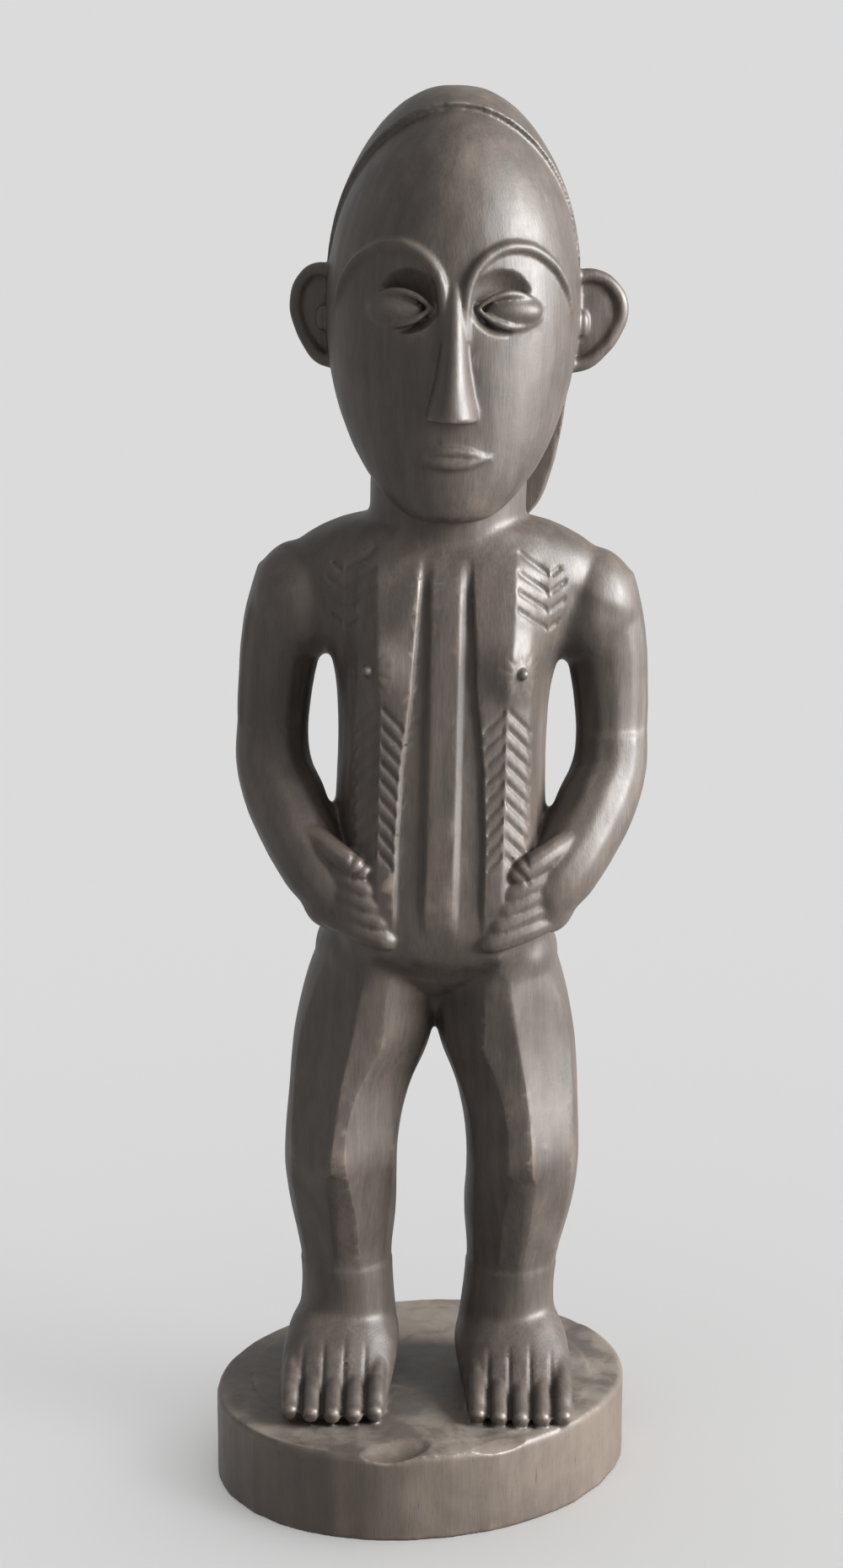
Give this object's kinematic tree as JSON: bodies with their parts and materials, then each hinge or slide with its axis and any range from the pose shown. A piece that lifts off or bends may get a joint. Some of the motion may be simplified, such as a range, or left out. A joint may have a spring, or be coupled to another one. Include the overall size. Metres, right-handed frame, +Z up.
{
  "type": "carved wooden statue",
  "caption": "Carved wooden standing figure with hands on its belly, on a round plinth; a free-standing ornament that rests on its flat underside",
  "frame": {"origin": "on the flat underside, at the middle of the plinth's outline", "axes": "+Z up the figure, -Y the way the figure faces, +X its left"},
  "size_m": [0.144, 0.1374, 0.4595],
  "materials": {
    "dark wood": "polished dark patina"
  },
  "bodies": {
    "root": {"statue": "dark wood"}
  },
  "joints": []
}
